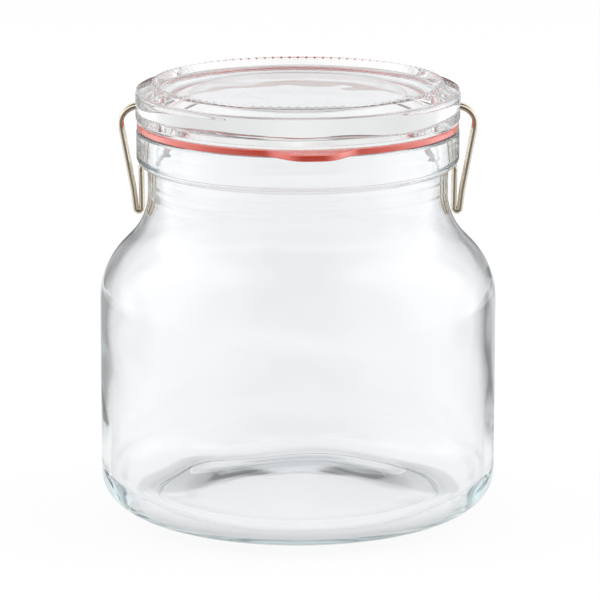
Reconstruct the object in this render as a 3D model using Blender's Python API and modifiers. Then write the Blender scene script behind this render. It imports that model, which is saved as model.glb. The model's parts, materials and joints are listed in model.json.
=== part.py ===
"""Glass preserving jar of about 1.5 litres, with a loose glass lid, a rubber ring and two wire clips.

Metres, +Z up, the foot of the jar on z = 0 and its axis on Z. The front is -Y, where the ring's
pull tab is. The lid's spigot drops into the mouth and the ring lies between the lid and the rim.
Each clip is one closed loop of bent wire: its bar turns in a notch of the lid, and its hook holds
under the flange of the rim.
"""

import math

import bmesh
import bpy
from mathutils import Vector

# Fineness of the round surfaces
TURNED_STEPS = 64
EDGE_POINTS = 3
BROAD_POINTS = 6
HEEL_POINTS = 8
WIRE_SIDES_RESOLUTION = 2
RING_POINTS = 96
MERGE_DISTANCE = 0.00001

# Play between glass, rubber and wire where they seat on each other
SEAT_GAP = 0.0003
CUT_OVERRUN = 0.002

# Body of the jar
BODY_RADIUS = 0.070
BODY_TOP = 0.0752
WALL = 0.003
SHOULDER_RISE = 0.0382
SHOULDER_CURVE_SHARE = 0.99
SHOULDER_OUTER_CURVE_SHARE = 0.54

# Heel, foot and pushed-up base
HEEL_RUN = 0.0163
HEEL_RISE = 0.0128
FOOT_WIDTH = 0.0032
FOOT_EDGE = 0.0008
BASE_THICKNESS = 0.0045
PUSH_UP = 0.0080
INNER_HEEL_RADIUS = 0.011

# Neck and rim flange
NECK_RADIUS = 0.0529
NECK_HEIGHT = 0.0099
FLANGE_HEIGHT = 0.0127
FLANGE_OVERHANG = 0.0038
FLANGE_ROOT = 0.0008
RIM_EDGE = 0.0009

# Rubber ring with its pull tab
RING_THICKNESS = 0.0022
RING_INSET = 0.0002
RING_FIT = 0.0004
RING_EDGE = 0.0003
TAB_REACH = 0.0083
TAB_WIDTH = 0.0335
TAB_FLAT_SHARE = 0.15
TAB_ANGLE = math.radians(-85)

# Glass lid
LID_OVERHANG = 0.0003
LID_WALL_HEIGHT = 0.011
LID_EDGE = 0.0009
LID_LOWER_CHAMFER = 0.0007
LID_LOWER_CHAMFER_RISE = 0.0014
CREST_HEIGHT = 0.003
CREST_STEP = 0.0010
CREST_INSET = 0.0063
CREST_WIDTH = 0.0010
CREST_FLARE = 0.0008
PANEL_FLARE = 0.0024
PANEL_RECESS = 0.0026
PANEL_THICKNESS = 0.0105
PANEL_EDGE_RUN_SHARE = 0.5
PANEL_EDGE_RISE_SHARE = 0.25
SPIGOT_CLEARANCE = 0.0007
SPIGOT_DEPTH = 0.0046
SPIGOT_THICKNESS = 0.0040
SPIGOT_EDGE = 0.0006
HOLLOW_RUN = 0.0075
HOLLOW_CURVE = 0.003

# Notch of the lid and the bar that turns in it
PIVOT_INSET = 0.0034
PIVOT_HEIGHT = 0.0056
NOTCH_SIDE_GAP = 0.0004
NOTCH_EDGE = 0.0006

# Wire clip
WIRE_RADIUS = 0.0009
LEG_SPACING = 0.0056
LOOP_CORNER = 0.0014
CLIP_REACH = 0.0061
RUN_DROP = 0.0019
TOP_BEND = 0.0060
KNEE_OUT = 0.0009
KNEE_RISE = 0.0077
KNEE_BEND = 0.020
HOOK_STANDOFF_GAP = 0.0011
HOOK_BEND_GAP = 0.00015
HOOK_LEAN = 0.00025
HOOK_SEAT_GAP = 0.00045

# Heights that follow from the sizes above
NECK_BOTTOM = BODY_TOP + SHOULDER_RISE
FLANGE_BOTTOM = NECK_BOTTOM + NECK_HEIGHT
RIM_TOP = FLANGE_BOTTOM + FLANGE_HEIGHT
RING_BOTTOM = RIM_TOP + SEAT_GAP
LID_SEAT = RING_BOTTOM + RING_THICKNESS + SEAT_GAP
PIVOT_Z = LID_SEAT + PIVOT_HEIGHT
LID_SHOULDER = LID_SEAT + LID_WALL_HEIGHT
LID_TOP = LID_SHOULDER + CREST_HEIGHT

# Radii that follow from the sizes above
MOUTH_RADIUS = NECK_RADIUS - WALL
FLANGE_RADIUS = NECK_RADIUS + FLANGE_OVERHANG
FLANGE_CORNER = FLANGE_OVERHANG - FLANGE_ROOT
RING_RADIUS = FLANGE_RADIUS - RING_INSET
SPIGOT_RADIUS = MOUTH_RADIUS - SPIGOT_CLEARANCE
RING_BORE = SPIGOT_RADIUS + RING_FIT
LID_RADIUS = FLANGE_RADIUS + LID_OVERHANG
PIVOT_X = LID_RADIUS - PIVOT_INSET

# The shoulder is two arcs with a short straight run between them
SHOULDER_DROP = BODY_RADIUS - NECK_RADIUS
LARGEST_CURVES = (SHOULDER_RISE**2 + SHOULDER_DROP**2) / (2 * SHOULDER_DROP)
SHOULDER_CURVES = LARGEST_CURVES * SHOULDER_CURVE_SHARE
SHOULDER_OUTER_CURVE = SHOULDER_CURVES * SHOULDER_OUTER_CURVE_SHARE
SHOULDER_INNER_CURVE = SHOULDER_CURVES - SHOULDER_OUTER_CURVE
SHOULDER_RUN = math.sqrt(2 * SHOULDER_DROP * (LARGEST_CURVES - SHOULDER_CURVES))
SHOULDER_ANGLE = math.atan2(SHOULDER_RISE, SHOULDER_CURVES - SHOULDER_DROP) - math.atan2(
    SHOULDER_RUN, SHOULDER_CURVES
)

QUARTER = math.pi / 2


def clear_scene():
    """Remove every object and the collections left from an earlier run."""
    for old in list(bpy.data.objects):
        bpy.data.objects.remove(old, do_unlink=True)
    for old in list(bpy.data.collections):
        bpy.data.collections.remove(old)


def new_collection(name):
    group = bpy.data.collections.new(name)
    bpy.context.scene.collection.children.link(group)
    return group


def plain_material(name, colour, roughness, metallic=0.0, transmission=0.0):
    """A Principled material with one colour, roughness and metallic value."""
    material = bpy.data.materials.new(name)
    material.use_nodes = True
    shader = material.node_tree.nodes["Principled BSDF"]
    shader.inputs["Base Color"].default_value = (*colour, 1.0)
    shader.inputs["Roughness"].default_value = roughness
    shader.inputs["Metallic"].default_value = metallic
    shader.inputs["Transmission Weight"].default_value = transmission
    material.diffuse_color = (*colour, 1.0)
    return material


def arc(centre, radius, start, end, count):
    """Points on a round arc in the outline's plane, both ends included."""
    points = []
    for i in range(count):
        angle = start + (end - start) * i / (count - 1)
        points.append((centre[0] + radius * math.cos(angle), centre[1] + radius * math.sin(angle)))
    return points


def swell(edge_radius, edge_z, rise, count):
    """Points of a round swell from its top on the axis out to its level edge."""
    points = []
    for i in range(count):
        share = i / (count - 1)
        points.append((edge_radius * share, edge_z + rise * (1 + math.cos(math.pi * share)) / 2))
    return points


def shoulder(offset, count):
    """The S-shaped shoulder from the neck down to the body, moved inwards by an offset."""
    upper_centre = (NECK_RADIUS + SHOULDER_INNER_CURVE, NECK_BOTTOM)
    lower_centre = (BODY_RADIUS - SHOULDER_OUTER_CURVE, BODY_TOP)
    upper = arc(
        upper_centre, SHOULDER_INNER_CURVE + offset, math.pi, math.pi + SHOULDER_ANGLE, count
    )
    lower = arc(lower_centre, SHOULDER_OUTER_CURVE - offset, SHOULDER_ANGLE, 0, count)
    return upper + lower


def turned(name, outline, material, group, origin_z=0.0):
    """Turn an outline round Z. The outline runs over the top and down its outer side."""
    mesh = bpy.data.meshes.new(name)
    points = [(radius, 0.0, z - origin_z) for radius, z in outline]
    mesh.from_pydata(points, [(i, i + 1) for i in range(len(points) - 1)], [])
    piece = bpy.data.objects.new(name, mesh)
    piece.location.z = origin_z
    group.objects.link(piece)
    screw = piece.modifiers.new("turn", "SCREW")
    screw.axis = "Z"
    screw.angle = 2 * math.pi
    screw.screw_offset = 0
    screw.steps = TURNED_STEPS
    screw.render_steps = TURNED_STEPS
    screw.use_merge_vertices = True
    screw.merge_threshold = MERGE_DISTANCE
    screw.use_smooth_shade = True
    mesh.materials.append(material)
    return piece


def jar_outline():
    """The section of the glass: floor, inner wall, rim, flange, outer wall, heel and foot."""
    inner_radius = BODY_RADIUS - WALL
    foot_outer = BODY_RADIUS - HEEL_RUN
    foot_inner = foot_outer - FOOT_WIDTH
    floor_edge = inner_radius - INNER_HEEL_RADIUS
    inner_heel_centre = (floor_edge, BASE_THICKNESS + INNER_HEEL_RADIUS)
    rim_z = RIM_TOP - RIM_EDGE
    floor = swell(floor_edge, BASE_THICKNESS, PUSH_UP, BROAD_POINTS)
    inner_heel = arc(inner_heel_centre, INNER_HEEL_RADIUS, -QUARTER, 0, BROAD_POINTS)[1:]
    inner_shoulder = shoulder(WALL, BROAD_POINTS)[::-1]
    rim_inner = arc((MOUTH_RADIUS + RIM_EDGE, rim_z), RIM_EDGE, math.pi, QUARTER, EDGE_POINTS)
    rim_outer = arc((FLANGE_RADIUS - RIM_EDGE, rim_z), RIM_EDGE, QUARTER, 0, EDGE_POINTS)
    corner_centre = (FLANGE_RADIUS - FLANGE_CORNER, FLANGE_BOTTOM + FLANGE_CORNER)
    flange_corner = arc(corner_centre, FLANGE_CORNER, 0, -QUARTER, BROAD_POINTS)
    root_centre = (NECK_RADIUS + FLANGE_ROOT, FLANGE_BOTTOM - FLANGE_ROOT)
    flange_root = arc(root_centre, FLANGE_ROOT, QUARTER, math.pi, EDGE_POINTS)[1:]
    outer_shoulder = shoulder(0, BROAD_POINTS + 1)
    heel = []
    for i in range(HEEL_POINTS):
        angle = -QUARTER * i / (HEEL_POINTS - 1)
        heel.append((foot_outer + HEEL_RUN * math.cos(angle), HEEL_RISE * (1 + math.sin(angle))))
    foot_edge = [(foot_inner, 0.0), (foot_inner - FOOT_EDGE, FOOT_EDGE)]
    underside = swell(foot_inner - 2 * FOOT_EDGE, FOOT_EDGE, PUSH_UP - FOOT_EDGE, BROAD_POINTS)[::-1]
    inside = floor + inner_heel + inner_shoulder + rim_inner
    outside = rim_outer + flange_corner + flange_root + outer_shoulder + heel
    return inside + outside + foot_edge + underside


def lid_outline():
    """The section of the lid: recessed panel, raised crest, bevel, wall, underside and spigot."""
    crest_radius = LID_RADIUS - CREST_INSET
    crest_inner = crest_radius - CREST_WIDTH / 2
    crest_outer = crest_radius + CREST_WIDTH / 2
    panel_top = LID_TOP - PANEL_RECESS
    panel_bottom = panel_top - PANEL_THICKNESS
    spigot_bottom = LID_SEAT - SPIGOT_DEPTH
    spigot_inner = SPIGOT_RADIUS - SPIGOT_THICKNESS
    hollow_slope = math.atan2(panel_bottom - spigot_bottom, HOLLOW_RUN)
    hollow_flat = spigot_inner - HOLLOW_RUN - HOLLOW_CURVE * math.tan(hollow_slope / 2)
    panel_edge = crest_inner - PANEL_FLARE
    top = [
        (0.0, panel_top),
        (panel_edge - PANEL_RECESS * PANEL_EDGE_RUN_SHARE, panel_top),
        (panel_edge, panel_top + PANEL_RECESS * PANEL_EDGE_RISE_SHARE),
        (crest_inner, LID_TOP),
        (crest_outer, LID_TOP),
        (crest_outer + CREST_FLARE, LID_TOP - CREST_STEP),
    ]
    wall_top_centre = (LID_RADIUS - LID_EDGE, LID_SHOULDER - LID_EDGE)
    wall_top = arc(wall_top_centre, LID_EDGE, QUARTER, 0, EDGE_POINTS + 1)
    lower = [
        (LID_RADIUS, LID_SEAT + LID_LOWER_CHAMFER_RISE),
        (LID_RADIUS - LID_LOWER_CHAMFER, LID_SEAT),
        (SPIGOT_RADIUS, LID_SEAT),
    ]
    outer_centre = (SPIGOT_RADIUS - SPIGOT_EDGE, spigot_bottom + SPIGOT_EDGE)
    inner_centre = (spigot_inner + SPIGOT_EDGE, spigot_bottom + SPIGOT_EDGE)
    spigot_outer_edge = arc(outer_centre, SPIGOT_EDGE, 0, -QUARTER, EDGE_POINTS)
    spigot_inner_edge = arc(inner_centre, SPIGOT_EDGE, -QUARTER, -math.pi, EDGE_POINTS)
    hollow_centre = (hollow_flat, panel_bottom - HOLLOW_CURVE)
    hollow_side = arc(hollow_centre, HOLLOW_CURVE, QUARTER - hollow_slope, QUARTER, EDGE_POINTS)
    spigot = spigot_outer_edge + spigot_inner_edge
    return top + wall_top + lower + spigot + hollow_side + [(0.0, panel_bottom)]


def notch_cutter(name, side, group):
    """A block that cuts one notch: open upwards and outwards, its floor along the wire's run."""
    back = PIVOT_X - WIRE_RADIUS - NOTCH_SIDE_GAP
    front = LID_RADIUS + CUT_OVERRUN
    half_width = LEG_SPACING / 2 + WIRE_RADIUS + NOTCH_SIDE_GAP
    floor = PIVOT_Z - WIRE_RADIUS - SEAT_GAP
    floor_slope = RUN_DROP / (LID_RADIUS + CLIP_REACH - PIVOT_X)
    top = LID_TOP + CUT_OVERRUN
    block = bmesh.new()
    bmesh.ops.create_cube(block, size=1)
    for corner in block.verts:
        x = front if corner.co.x > 0 else back
        low = floor - floor_slope * max(0.0, x - PIVOT_X)
        corner.co.y = math.copysign(half_width, corner.co.y)
        corner.co.z = top if corner.co.z > 0 else low
        corner.co.x = side * x
    if side < 0:
        bmesh.ops.reverse_faces(block, faces=block.faces[:])
    mesh = bpy.data.meshes.new(name)
    block.to_mesh(mesh)
    block.free()
    cutter = bpy.data.objects.new(name, mesh)
    cutter.hide_render = True
    cutter.display_type = "WIRE"
    group.objects.link(cutter)
    bevel = cutter.modifiers.new("rounding", "BEVEL")
    bevel.width = NOTCH_EDGE
    bevel.segments = 2
    return cutter


def cut_with(piece, cutter):
    """Cut a piece with one cutter."""
    cut = piece.modifiers.new(cutter.name, "BOOLEAN")
    cut.operation = "DIFFERENCE"
    cut.object = cutter


def tab_bump(angle):
    """How far the pull tab stands out at an angle: flat at its end, with soft flanks."""
    half = TAB_WIDTH / 2
    away = abs(math.remainder(angle - TAB_ANGLE, 2 * math.pi)) * RING_RADIUS
    flat = half * TAB_FLAT_SHARE
    if away >= half:
        return 0.0
    if away <= flat:
        return TAB_REACH
    fall = (away - flat) / (half - flat)
    return TAB_REACH * (1 + math.cos(math.pi * fall)) / 2


def rubber_ring(material, group):
    """A flat ring with softly rounded edges and one pull tab."""
    curve = bpy.data.curves.new("gasket", "CURVE")
    curve.dimensions = "2D"
    curve.fill_mode = "BOTH"
    curve.extrude = RING_THICKNESS / 2 - RING_EDGE
    curve.bevel_depth = RING_EDGE
    curve.bevel_resolution = 0
    for bore in (False, True):
        line = curve.splines.new("POLY")
        line.points.add(RING_POINTS - 1)
        line.use_cyclic_u = True
        for i, point in enumerate(line.points):
            angle = TAB_ANGLE + 2 * math.pi * i / RING_POINTS
            radius = RING_BORE + RING_EDGE if bore else RING_RADIUS - RING_EDGE + tab_bump(angle)
            point.co = (radius * math.cos(angle), radius * math.sin(angle), 0.0, 1.0)
    ring = bpy.data.objects.new("gasket", curve)
    ring.location.z = RING_BOTTOM + RING_THICKNESS / 2
    ring.data.materials.append(material)
    group.objects.link(ring)
    return ring


def clip_corners():
    """Corners of one leg's centreline, from the bar to the hook: place, bend radius, bend steps."""
    bend = WIRE_RADIUS + HOOK_BEND_GAP
    inner_leg = NECK_RADIUS + WIRE_RADIUS + HOOK_STANDOFF_GAP
    outer_leg = inner_leg + 2 * bend
    # The hook's bend lies just clear of the hollow curve above the shoulder
    hollow_centre = (NECK_RADIUS + SHOULDER_INNER_CURVE, NECK_BOTTOM)
    hollow_reach = SHOULDER_INNER_CURVE - bend - WIRE_RADIUS - SEAT_GAP
    across = hollow_centre[0] - (inner_leg + bend)
    hook_low = hollow_centre[1] - math.sqrt(hollow_reach**2 - across**2) - bend
    # The tip lies just clear of the rounded underside of the flange
    tip_x = inner_leg + HOOK_LEAN
    corner_x = FLANGE_RADIUS - FLANGE_CORNER
    corner_z = FLANGE_BOTTOM + FLANGE_CORNER
    tip_reach = FLANGE_CORNER + WIRE_RADIUS + HOOK_SEAT_GAP
    tip_z = corner_z - math.sqrt(tip_reach**2 - (tip_x - corner_x) ** 2)
    return [
        ((PIVOT_X, PIVOT_Z), LOOP_CORNER, 3),
        ((LID_RADIUS + CLIP_REACH, PIVOT_Z - RUN_DROP), TOP_BEND, 6),
        ((outer_leg + KNEE_OUT, hook_low + KNEE_RISE), KNEE_BEND, 2),
        ((outer_leg, hook_low), bend, 4),
        ((inner_leg, hook_low), bend, 4),
        ((tip_x, tip_z), LOOP_CORNER, 3),
    ]


def rounded_loop(corners, radii, steps):
    """A closed line through corners in space, each rounded by an arc of its own radius."""
    points = []
    count = len(corners)
    for i in range(count):
        here = corners[i]
        before = (corners[i - 1] - here).normalized()
        after = (corners[(i + 1) % count] - here).normalized()
        opening = before.angle(after)
        run = radii[i] / math.tan(opening / 2)
        to_centre = (before + after).normalized()
        centre = here + to_centre * (radii[i] / math.sin(opening / 2))
        start = here + before * run - centre
        end = here + after * run - centre
        turn = start.angle(end)
        for k in range(steps[i] + 1):
            share = k / steps[i]
            blend = start * math.sin((1 - share) * turn) + end * math.sin(share * turn)
            points.append(centre + blend / math.sin(turn))
    return points


def wire_clip(name, side, material, group, carrier):
    """One clip: a closed loop of wire whose bar lies on the pivot axis, made about that axis."""
    corners = clip_corners()
    half = LEG_SPACING / 2
    near = [Vector((side * (x - PIVOT_X), -half, z - PIVOT_Z)) for (x, z), _, _ in corners]
    far = [Vector((point.x, half, point.z)) for point in near]
    radii = [radius for _, radius, _ in corners]
    steps = [count for _, _, count in corners]
    line_points = rounded_loop(near + far[::-1], radii + radii[::-1], steps + steps[::-1])
    curve = bpy.data.curves.new(name, "CURVE")
    curve.dimensions = "3D"
    curve.bevel_depth = WIRE_RADIUS
    curve.bevel_resolution = WIRE_SIDES_RESOLUTION
    line = curve.splines.new("POLY")
    line.points.add(len(line_points) - 1)
    line.use_cyclic_u = True
    line.use_smooth = True
    for point, place in zip(line.points, line_points):
        point.co = (*place, 1.0)
    clip = bpy.data.objects.new(name, curve)
    clip.parent = carrier
    clip.location = (side * PIVOT_X, 0.0, PIVOT_Z - LID_SEAT)
    clip.data.materials.append(material)
    group.objects.link(clip)
    return clip


def main():
    clear_scene()
    jar_group = new_collection("canning_jar")
    cutter_group = new_collection("cutters")
    jar_glass = plain_material("jar_glass", (0.86, 0.91, 0.91), 0.05, transmission=0.9)
    lid_glass = plain_material("lid_glass", (0.88, 0.92, 0.93), 0.05, transmission=0.9)
    rubber = plain_material("ring_rubber", (0.80, 0.17, 0.10), 0.45)
    left_steel = plain_material("left_clip_steel", (0.72, 0.70, 0.66), 0.18, metallic=1.0)
    right_steel = plain_material("right_clip_steel", (0.72, 0.70, 0.66), 0.18, metallic=1.0)

    turned("jar_body", jar_outline(), jar_glass, jar_group)
    lid = turned("lid", lid_outline(), lid_glass, jar_group, origin_z=LID_SEAT)
    for name, side in (("left_notch", -1), ("right_notch", 1)):
        cut_with(lid, notch_cutter(name, side, cutter_group))
    rubber_ring(rubber, jar_group)
    wire_clip("left_clip", -1, left_steel, jar_group, lid)
    wire_clip("right_clip", 1, right_steel, jar_group, lid)
    bpy.context.view_layer.update()


main()
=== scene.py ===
"""Looks of a clear glass canning jar with a loose glass lid, a rubber ring and two wire clips.

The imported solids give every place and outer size. Each piece is made again here as a fine surface
with the same shape, and gets its finish: clear moulded glass, soft rubber and polished steel wire.
"""

import json
import math

import bpy
import numpy as np
from bpy.props import FloatProperty, FloatVectorProperty, IntProperty, PointerProperty
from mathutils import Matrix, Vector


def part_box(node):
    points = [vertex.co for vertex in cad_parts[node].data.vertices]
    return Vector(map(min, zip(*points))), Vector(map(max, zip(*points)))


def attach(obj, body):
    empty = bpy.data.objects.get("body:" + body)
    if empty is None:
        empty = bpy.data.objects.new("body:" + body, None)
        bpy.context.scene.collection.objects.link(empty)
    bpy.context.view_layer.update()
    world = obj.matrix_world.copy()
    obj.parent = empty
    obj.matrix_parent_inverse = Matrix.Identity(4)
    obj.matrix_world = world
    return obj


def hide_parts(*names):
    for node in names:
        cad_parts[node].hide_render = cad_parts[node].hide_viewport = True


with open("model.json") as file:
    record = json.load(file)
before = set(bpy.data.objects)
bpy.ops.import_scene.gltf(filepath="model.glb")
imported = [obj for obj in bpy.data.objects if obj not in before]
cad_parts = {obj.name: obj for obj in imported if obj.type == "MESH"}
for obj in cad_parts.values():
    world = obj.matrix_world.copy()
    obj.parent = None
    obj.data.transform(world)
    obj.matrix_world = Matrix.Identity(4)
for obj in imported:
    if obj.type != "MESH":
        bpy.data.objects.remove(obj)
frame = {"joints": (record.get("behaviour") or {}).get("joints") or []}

bl_info = {
    "name": "Canning jar",
    "version": (1, 0, 0),
    "blender": (4, 5, 0),
    "location": "View3D > Sidebar > Jar",
    "description": "Glass canning jar with a lid, a rubber ring, wire clips and a white stage",
    "category": "Add Mesh",
}

QUARTER = math.pi / 2
TURN = 2 * math.pi

# Bend given to the two ends of an open line so that they count as corners, and the shortest side
# that a rounded line keeps
END_BEND = 1e-3
LEAST_SIDE = 1e-7

# Points along each kind of curve, across the ring's faces, and round the wire and the stage
SWELL_POINTS = 48
SHOULDER_POINTS = 20
HEEL_POINTS = 24
CORNER_POINTS = 16
EDGE_POINTS = 7
ROOT_POINTS = 6
LID_WALL_POINTS = 56
LID_UNDER_POINTS = 25
RING_FLAT_POINTS = 9
LOOP_CORNER_POINTS = 13
WIRE_SIDES = 20
STAGE_SIDES = 96

# Longest sides of the surfaces between those curves
JAR_STEP = 0.003
NECK_STEP = 0.0003
LID_TOP_STEP = 0.004
CREST_STEP = 0.00012
LID_UNDER_STEP = 0.002
WIRE_STEP = 0.0012

# Columns of the lid over each dot, the part of a notch's width on each side of its middle that has
# close columns, their spacing, and their gap to the other columns in radians
DOT_COLUMNS = 6
NOTCH_ZONE_SHARE = 0.75
NOTCH_STEP = 0.00022
NOTCH_ZONE_GAP = 0.0005

# Where the blown wall wanders: from the floor's edge, in full after the rise, then to a top height
# after a fall
BLOWN_RISE = 0.03
BLOWN_FALL = 0.02
BLOWN_TOP = 0.125

# Where the neck has fine rings, in the same way
RINGS_LOW = 0.105
RINGS_RISE = 0.01
RINGS_FALL = 0.003
RINGS_TOP = 0.1335

# Waves of the blown wall: turns round the jar, turns over the wave height, and start
BLOWN_WAVE_HEIGHT = 0.060
BLOWN_WAVES = ((3, 0.7, 0.4), (5, -1.3, 2.1), (8, 2.1, 4.0), (2, 2.9, 1.2))

# Rings in the neck: height of a ring, its share, its sway, turns of the sway round the jar, and start
NECK_RINGS = ((0.0041, 1, 2, 2, 0.5), (0.0023, 0.5, 1.5, 3, 2.0))

# Waves of the lid's pressed underside: lengths along x and along y, and start
UNDER_WAVES = ((0.031, 0.047, 0.4), (-0.023, 0.037, 2.1), (0.090, 0.029, 1.0))
UNDER_RISE = 0.02
UNDER_FALL = 0.002

# Waves of the lid's wall: how many over its height, then the sway, its turns round the lid, and start.
# They rise and fall over a share of the height and end below its top
WALL_WAVES = 0.9
WALL_SWAYS = ((1.8, 2, 2.6), (1.0, 5, 4.0))
WALL_FADE_SHARE = 0.15
WALL_END_SHARE = 0.95

# The lid's small corners: their radii, the first radius of its lines, where the wall's own line
# starts behind the bevel, and the step from there to the notch's back
PANEL_FILLET = 0.0012
CREST_EDGE = 0.0003
BEVEL_FILLET = 0.0004
WALL_FOOT_EDGE = 0.0004
NOTCH_TOP_EDGE = 0.0001
NOTCH_FILLET = 0.0009
NOTCH_LIP = 0.0006
LID_MIDDLE = 0.002
WALL_LEAD = 0.0006
NOTCH_TOP_STEP = 0.0002

# Share of the wire's direction that has to lie along a leg for its normal to be worked out there.
# On the loop's bars the normal is carried over from both sides
LEAST_LEG_SHARE = 0.2

# Painted shade for glass seen edge on, which stands in for the dark surroundings it shows there, how
# sharply it sets in, and how much of each colour of a lamp's light passes through to the shadow
EDGE_PAINTED_SHADE = (0.42, 0.46, 0.51)
EDGE_SHADE_POWER = 4.0
SHADOW_TINT = (0.88, 0.90, 0.90)

# Darkest and lightest share of a colour that its pattern gives
RUBBER_SHADE_SHARES = (0.82, 1.18)
STEEL_SHADE_SHARES = (0.9, 1.05)

# Roughness of the steel without marks, and what the marks add
STEEL_ROUGHNESS = 0.06
MARKS_ROUGHNESS = 0.16

FLOOR_PAINT = (0.9, 0.9, 0.9)
CARD_FOOT = 0.001

# The lamps: name, place, width, power in watts and colour, and the height that they all point at
LAMPS = (
    ("left", (-1.5, 0.10, 1.0), 1.4, 13.0, (1.0, 0.99, 0.97)),
    ("right", (1.5, 0.10, 0.9), 1.4, 13.0, (0.97, 0.98, 1.0)),
    ("top", (0.0, 0.2, 1.9), 1.8, 13.0, (1.0, 1.0, 1.0)),
)
LAMP_AIM = 0.08

# Brightness of the floor near the jar, and of the far floor and the walls, as glass mirrors them,
# by the angle from the front in degrees, left side first. Plain white is 1
FLOOR_SIDES = (
    (-180, 0.70), (-170, 0.45), (-158, 0.80), (-150, 0.38), (-136, 0.33), (-122, 0.90), (-95, 1.0),
    (-50, 0.45), (-20, 0.05), (20, 0.05), (50, 0.45), (95, 1.0), (116, 0.90), (128, 0.25), (137, 0.15),
    (146, 0.60), (158, 0.80), (170, 0.45), (180, 0.70),
)
WALL_SIDES = (
    (-180, 1.0), (-165, 0.94), (-150, 0.87), (-135, 0.93), (-115, 1.7), (-90, 1.2), (-50, 0.45),
    (-20, 0.1), (20, 0.1), (50, 0.45), (90, 1.2), (115, 1.7), (135, 0.93), (150, 0.84), (165, 0.91),
    (180, 1.0),
)

# Share of light that the low dark cards behind the jar let through, by the same angle
CARD_SIDES = (
    (-180, 1.0), (-175, 1.0), (-172, 0.10), (-165, 0.20), (-159, 0.60), (-152, 0.40), (-143, 0.70),
    (-136, 1.0), (0, 1.0), (136, 1.0), (143, 0.80), (152, 0.50), (159, 0.65), (165, 0.20), (172, 0.10),
    (175, 1.0), (180, 1.0),
)

# Places and outer sizes of the solids
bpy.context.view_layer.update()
JAR_LOW, JAR_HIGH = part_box("jar_body")
LID_LOW, LID_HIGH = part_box("lid")
RING_LOW, RING_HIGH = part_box("gasket")
PIVOTS = {joint["child"]: joint["pos_m"] for joint in frame["joints"] if "pos_m" in joint}


# One short function for each kind of setting
def length(name, text, default):
    return FloatProperty(name=name, description=text, default=default, unit="LENGTH", precision=5)


def share(name, text, default):
    return FloatProperty(name=name, description=text, default=default, subtype="FACTOR")


def colour(name, text, default):
    return FloatVectorProperty(name=name, description=text, default=default, subtype="COLOR", size=3)


def angle(name, text, degrees):
    default = math.radians(degrees)
    return FloatProperty(name=name, description=text, default=default, subtype="ANGLE")


def number(name, text, default):
    return FloatProperty(name=name, description=text, default=default)


def count(name, text, default):
    return IntProperty(name=name, description=text, default=default)


class JarGlassSettings(bpy.types.PropertyGroup):
    """Sizes of the jar's glass that its box doesn't give."""

    wall: length("Wall", "Thickness of the side wall", 0.003)
    body_top: length("Body top", "Height where the shoulder begins", 0.0752)
    shoulder_rise: length("Shoulder rise", "Height of the S-shaped shoulder", 0.0382)
    curves: share("Shoulder curves", "Share of the shoulder that its two arcs take", 0.99)
    outer_curve: share("Outer curve", "Share of the arcs' radii that the lower one has", 0.54)
    heel_run: length("Heel run", "How far the foot lies inside the body", 0.0163)
    heel_rise: length("Heel rise", "Height of the curved heel", 0.0128)
    foot_width: length("Foot width", "Width of the flat ring the jar stands on", 0.0032)
    foot_edge: length("Foot edge", "Step from the foot to the underside", 0.0008)
    base: length("Base", "Thickness of the floor at its edge", 0.0045)
    push_up: length("Push-up", "Rise of the floor's middle", 0.0080)
    inner_heel: length("Inner heel", "Radius where floor and wall meet inside", 0.011)
    neck_radius: length("Neck radius", "Outer radius of the neck", 0.0529)
    neck_height: length("Neck height", "Height of the neck under the flange", 0.0099)
    overhang: length("Flange overhang", "How far the flange stands out of the neck", 0.0038)
    root: length("Flange root", "Radius where flange and neck meet", 0.0008)
    rim_edge: length("Rim edge", "Radius of the rim's edges", 0.0009)
    unevenness: length("Unevenness", "How much the blown inner wall wanders", 0.00022)
    rings: length("Mould rings", "Height of the fine rings inside the neck", 0.00002)
    columns: count("Columns", "Points round the jar", 256)
    tint: colour("Tint", "Colour of the glass surface", (0.985, 0.987, 0.993))
    depth_tint: colour("Depth tint", "Colour that thick glass tends to", (0.33, 0.60, 0.64))
    density: number("Density", "How strongly the depth tint shows, per metre", 5.0)
    ripple: length("Ripple", "Height of the surface's ripple", 0.00012)


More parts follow.
